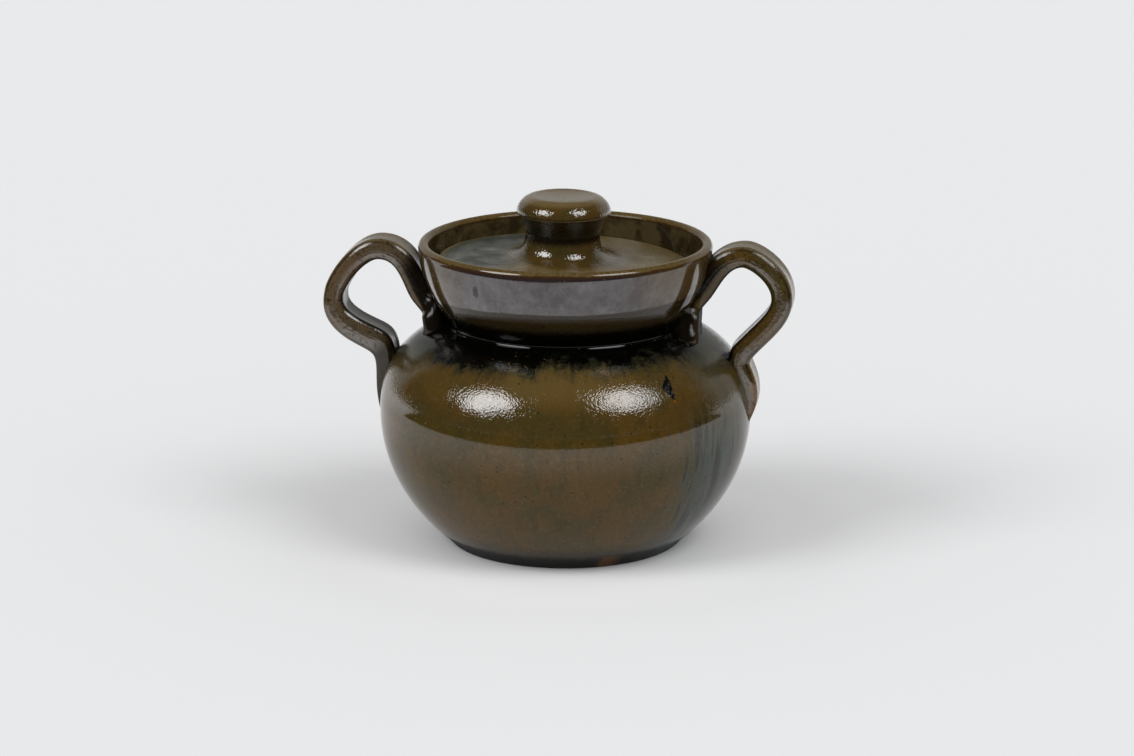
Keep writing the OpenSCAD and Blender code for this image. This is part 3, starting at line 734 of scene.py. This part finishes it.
# The top is pushed a little to the left under its knob, and leans to the right over a level seat.
leaning_z, pushed_r, push_spread = seat_z + 1.4, 36, 8
choose(lid, lambda corner: corner.z > leaning_z * MM and corner.xy.length < pushed_r * MM)
nudge((knob_shift, 0, 0), push_spread)
choose(lid, lambda corner: corner.z > leaning_z * MM)
# Without a window, rotate turns the other way, so this leans to the right.
lean, lean_centre = -math.radians(tilt_right), (0, 0, lid_top_z * MM)
bpy.ops.transform.rotate(value=lean, orient_axis="Y", center_override=lean_centre)
smoothed()

# Iron glaze laid thin on the lid's stoneware and fired to a satin. It gives a flat olive brown that
# turns grey with slate blotches on the left, a warmer brim, and a glossy brown by the knob.
lid_level = 0.35
material, tree, output = finish_named("thin_satin_glaze_on_lid")
here = add(tree, "TexCoord", {}).outputs["Object"]
place = add(tree, "Mapping", {}, here, Scale=(1000, 1000, 1000))
x, y, z = add(tree, "SeparateXYZ", {}, place).outputs
radius = add(tree, "VectorMath", LENGTH, add(tree, "CombineXYZ", {}, x, y, 0.0))
radius = radius.outputs["Value"]
cloud = add(tree, "TexNoise", {}, Vector=place, Scale=0.07, Detail=6.0, Roughness=0.65)
fine = add(tree, "TexNoise", {}, Vector=place, Scale=0.8, Detail=4.0, Roughness=0.65)
side = add(tree, "Math", SCALED, cloud, 60.0, x)
grey = add(tree, "MapRange", EASE, side, 4.0, 24.0, 1.0, 0.0)
body = add(tree, "Mix", COLOUR, grey, linear("#6a5a38"), linear("#464a42"))
dark = add(tree, "MapRange", EASE, fine, 0.48, 0.66, 0.0, 0.4)
body = add(tree, "Mix", COLOUR, dark, body, linear("#231d11"))
blotch = add(tree, "TexNoise", {}, Vector=place, Scale=0.12, Detail=7.0, Roughness=0.7)
slate = add(tree, "Math", TIMES, grey, add(tree, "MapRange", EASE, blotch, 0.5, 0.62, 0.0, 0.8))
body = add(tree, "Mix", COLOUR, slate, body, linear("#23291f"))
pale = add(tree, "MapRange", EASE, blotch, 0.46, 0.34, 0.0, 0.6)
body = add(tree, "Mix", COLOUR, pale, body, linear("#75725c"))
brim = add(tree, "Math", SCALED, cloud, 3.0, radius)
brim = add(tree, "MapRange", EASE, brim, 43.0, 44.6, 0.0, 0.85)
body = add(tree, "Mix", COLOUR, brim, body, linear("#6a5a34"))
stem = add(tree, "MapRange", EASE, add(tree, "Math", SCALED, cloud, 16.0, radius), 33.0, 25.0)
body = add(tree, "Mix", COLOUR, stem, body, linear("#443413"))
relief = add(tree, "Bump", {}, Strength=1.0, Distance=0.08 * MM, Height=fine)
dull = add(tree, "MapRange", {}, stem, 0.0, 1.0, 0.42, 0.1)
satin = add(tree, "MapRange", EASE, blotch, 0.6, 0.4, 0.12, 0.4)
glaze = add(
    tree, "BsdfPrincipled", {}, Base_Color=body, Roughness=dull, IOR=glaze_ior,
    Specular_IOR_Level=lid_level, Coat_Weight=satin, Coat_Roughness=0.16, Coat_IOR=lustre_ior,
    Normal=relief, Coat_Normal=relief,
)
tree.links.new(glaze.outputs[0], output.inputs["Surface"])
lid.data.materials.append(material)
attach(lid, "lid")
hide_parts("lid_disc")


# Knob. The real one is thrown on the lid: a spread foot, a waist to hold, a bulb with a sharp
# turned line under it, and a shallow thumb dish on top. It leans a little to the right.
knob_r, ridge_z, knob_top_z, dish_r, dish_depth = 16.5, 117.3, 123.4, 9.8, 0.9
sunk, proud, knob_starts, knob_shows = 0.06, 0.03, 16, 18
stem = [(r - sunk, z) for r, z in spread[knob_starts:knob_shows]]
stem += [(r + proud, z) for r, z in spread[knob_shows:]]
under_edge = (knob_r - 0.75, ridge_z - 0.4)
edge_low, edge_high = (knob_r, ridge_z + 0.6), (knob_r - 0.3, ridge_z + 2.1)
brow, dish_rim = (knob_r - 2.4, ridge_z + 4.8), (dish_r + 0.3, knob_top_z)
dish_z = knob_top_z - dish_depth
knob_section = (
    [(0, crown_z)]
    + stem
    + bend(waist, (waist_r + 0.1, waist_z + 1.8), under_edge, steps=10)[1:]
    + [(knob_r - 0.6, ridge_z - 0.2), (knob_r - 0.2, ridge_z - 0.1), (knob_r - 0.02, ridge_z + 0.2)]
    + bend(edge_low, (knob_r, ridge_z + 1.4), edge_high, steps=4)
    + bend(edge_high, (knob_r - 0.9, ridge_z + 3.6), brow, steps=8)[1:]
    + bend(brow, (knob_r - 4.0, knob_top_z), dish_rim, steps=10)[1:]
    + bend((dish_r, knob_top_z - 0.1), (dish_r / 2, dish_z), (0, dish_z), steps=8)
)
knob = turned("turned_lid_knob", knob_section, steps=96)
bpy.ops.mesh.select_all(action="SELECT")
bpy.ops.transform.translate(value=(knob_shift * MM, 0, 0))
bpy.ops.transform.rotate(value=lean, orient_axis="Y", center_override=lean_centre)

# The bulb is turned back a little, so it sits almost level on the leaning stem.
turned_back, bulb_z, turn_spread = 1.6, waist_z + 3, 5
choose(knob, lambda corner: corner.z > bulb_z * MM)
bpy.ops.transform.rotate(
    value=math.radians(turned_back),
    orient_axis="Y",
    center_override=(-0.5 * MM, 0, ridge_z * MM),
    use_proportional_edit=True,
    proportional_edit_falloff="SMOOTH",
    proportional_size=turn_spread * MM,
)
smoothed(sharp=60)

# The pot's glaze on the knob, with black brown painted shade on the stem and under the bulb, a warmer
# painted gleam just below the turned line, a painted highlight along the turned line, and paler and
# duller round the thumb dish.
material, tree, output, place, _, _, _, grain, body = iron_glaze(
    "dipped_iron_glaze_on_knob", down_the_wall
)
x, y, z = add(tree, "SeparateXYZ", {}, place).outputs
# Black brown painted shade on the stem and under the bulb, warmer at its top where a gleam is painted
under = add(tree, "MapRange", EASE, z, 106.8, 109.4)
under = add(tree, "Math", TIMES, under, add(tree, "MapRange", EASE, z, 118.6, 117.4, 0.0, 0.9))
painted_gleam = add(tree, "MapRange", EASE, z, 112.8, 115.6)
under_tone = add(tree, "Mix", COLOUR, painted_gleam, linear("#070402"), linear("#1e140a"))
body = add(tree, "Mix", COLOUR, under, body, under_tone)
# A thin painted highlight along the turned line
line = add(tree, "Math", UNSIGNED, add(tree, "Math", LESS, z, ridge_z))
line = add(tree, "MapRange", EASE, line, 0.4, 0.1)
body = add(tree, "Mix", COLOUR, add(tree, "Math", TIMES, line, 0.6), body, linear("#75643f"))
pale_dish = add(tree, "Math", SCALED, grain, 1.5, z)
pale_dish = add(tree, "MapRange", EASE, pale_dish, 122.0, 123.6, 0.0, 0.7)
body = add(tree, "Mix", COLOUR, pale_dish, body, linear("#6e5c3a"))
ripple = add(tree, "TexNoise", {}, Vector=place, Scale=1.2, Detail=1.0)
relief = add(tree, "Bump", {}, Strength=1.0, Distance=0.14 * MM, Height=ripple)
dull = add(tree, "MapRange", {}, pale_dish, 0.0, 0.7, 0.08, 0.3)
lustre = add(tree, "MapRange", {}, under, 0.0, 0.9, 0.85, 0.12)
glaze = add(
    tree, "BsdfPrincipled", {}, Base_Color=body, Roughness=dull, IOR=glaze_ior,
    Specular_IOR_Level=glaze_level, Coat_Weight=lustre, Coat_Roughness=0.07, Coat_IOR=lustre_ior,
    Normal=relief, Coat_Normal=relief,
)
tree.links.new(glaze.outputs[0], output.inputs["Surface"])
knob.data.materials.append(material)
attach(knob, "lid")
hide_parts("lid_knob")


# Studio. A pale sheet lies on the table and runs up behind the jar. Two soft lamps stand in
# front, one on each side, and the room beyond the table's edge is dark.
view_side = math.radians(8)


def toward(azimuth, elevation):
    """Unit direction from the jar, the azimuth counted from the camera's side, in degrees."""
    turn, rise = math.radians(azimuth) + view_side, math.radians(elevation)
    return Vector((math.sin(turn) * math.cos(rise), -math.cos(turn) * math.cos(rise), math.sin(rise)))


bpy.ops.object.select_all(action="DESELECT")
bpy.ops.mesh.primitive_plane_add(size=16)
floor = bpy.context.object
floor.name = "studio_floor"

# Matt white paper. Close round the foot it is a little whiter, which keeps the contact shadow weak.
paper_white, foot_white = (0.80, 0.805, 0.81, 1), (0.9, 0.905, 0.91, 1)
white_to, white_from = 50 * MM, 100 * MM
material, tree, output = finish_named("matt_pale_paper")
near = add(tree, "VectorMath", LENGTH, add(tree, "TexCoord", {}).outputs["Object"])
near = add(tree, "MapRange", EASE, near.outputs["Value"], white_to, white_from, 1.0, 0.0)
shade = add(tree, "Mix", COLOUR, near, paper_white, foot_white)
paper = add(tree, "BsdfPrincipled", {}, Base_Color=shade, Roughness=1.0, Specular_IOR_Level=0.0)
tree.links.new(paper.outputs[0], output.inputs["Surface"])
floor.data.materials.append(material)

# Seen in the glaze alone: the dark floor of the room beyond the sheet's edge.
edge_x, edge_y, edge_half_x, edge_half_y, room_reach, room_back = 60, 60, 430, 371, 16, 0.2
room = fresh("primitive_circle_add", vertices=96, radius=1)
room.name = "dark_room_floor"
bpy.ops.transform.resize(value=(edge_half_x * MM, edge_half_y * MM, 1))
bpy.ops.mesh.extrude_region_move()
bpy.ops.transform.resize(value=(room_reach, room_reach, 1))
choose(room, lambda corner: corner.y > room_back * corner.length)
bpy.ops.mesh.delete(type="VERT")
bpy.ops.mesh.select_all(action="SELECT")
bpy.ops.transform.translate(value=(edge_x * MM, edge_y * MM, MM))
bpy.ops.transform.rotate(value=-view_side, orient_axis="Z", center_override=(0, 0, 0))
bpy.ops.object.mode_set(mode="OBJECT")
material, tree, output = finish_named("dark_room_floor_paint")
paint = add(tree, "Emission", {}, Color=(0.012, 0.011, 0.010, 1))
tree.links.new(paint.outputs[0], output.inputs["Surface"])
room.data.materials.append(material)
room.visible_camera = room.visible_diffuse = room.visible_shadow = False
room.visible_transmission = room.visible_volume_scatter = False

# Each soft lamp by its side, height and strength
lamp_width = math.radians(30)
for name, side, height, strength in (("left_lamp", -60, 39, 1.0), ("right_lamp", 50, 47, 0.85)):
    lamp = bpy.data.objects.new(name, bpy.data.lights.new(name, "SUN"))
    lamp.data.energy = strength
    lamp.data.angle = lamp_width
    lamp.rotation_euler = toward(side, height).to_track_quat("Z", "Y").to_euler()
    bpy.context.collection.objects.link(lamp)

# The room round it, as levels of light: a plain backdrop for the camera, an even fill for matt
# surfaces, and for the glaze a dark room with the pale sheet behind the jar.
backdrop, sheet_tone, dark_tone = (0.79, 0.79, 0.79, 1), (0.36, 0.36, 0.35, 1), (0.02, 0.019, 0.018, 1)
front_fill, back_fill, sheet_side = (0.82, 0.82, 0.825, 1), (0.42, 0.42, 0.425, 1), 170
ALONG = {"operation": "DOT_PRODUCT"}
world = bpy.data.worlds.new("studio")
bpy.context.scene.world = world
world.use_nodes = True
tree = world.node_tree
tree.nodes.clear()
output = tree.nodes.new("ShaderNodeOutputWorld")
way = add(tree, "TexCoord", {}).outputs["Generated"]
rise = add(tree, "SeparateXYZ", {}, way).outputs[2]
behind = add(tree, "VectorMath", ALONG, way, toward(sheet_side, 0)).outputs["Value"]
sheet = add(tree, "MapRange", EASE, behind, 0.42, 0.52)
sheet = add(tree, "Math", TIMES, sheet, add(tree, "MapRange", EASE, rise, 0.4, 0.7, 1.0, 0.0))
in_glaze = add(tree, "Mix", COLOUR, sheet, dark_tone, sheet_tone)
ray = add(tree, "LightPath", {}).outputs
direct = add(tree, "Math", LARGER, ray["Is Camera Ray"], ray["Is Transmission Ray"])
ahead = add(tree, "VectorMath", ALONG, way, toward(0, 0)).outputs["Value"]
ahead = add(tree, "MapRange", EASE, ahead, -0.6, 0.6)
fill = add(tree, "Mix", COLOUR, ahead, back_fill, front_fill)
fill = add(tree, "Mix", COLOUR, ray["Is Glossy Ray"], fill, in_glaze)
fill = add(tree, "Mix", COLOUR, direct, fill, backdrop)
tree.links.new(add(tree, "Background", {}, Color=fill).outputs[0], output.inputs["Surface"])

# Camera at the photograph's view: 8 degrees to the right of the jar's front, 14.7 above.
distance, tilt, lens, aim_right, aim_z = 1500.0, 14.69, 135.24, 0.53, 57.6
aim = Vector((aim_right * math.cos(view_side), aim_right * math.sin(view_side), aim_z)) * MM
camera = bpy.data.objects.new("camera", bpy.data.cameras.new("camera"))
camera.data.lens = lens
camera.data.sensor_width = 36
camera.data.clip_end = 50
camera.location = aim + toward(0, tilt) * distance * MM
camera.rotation_euler = (aim - camera.location).to_track_quat("-Z", "Y").to_euler()
bpy.context.collection.objects.link(camera)
bpy.context.scene.camera = camera
bpy.context.scene.view_settings.view_transform = "Standard"
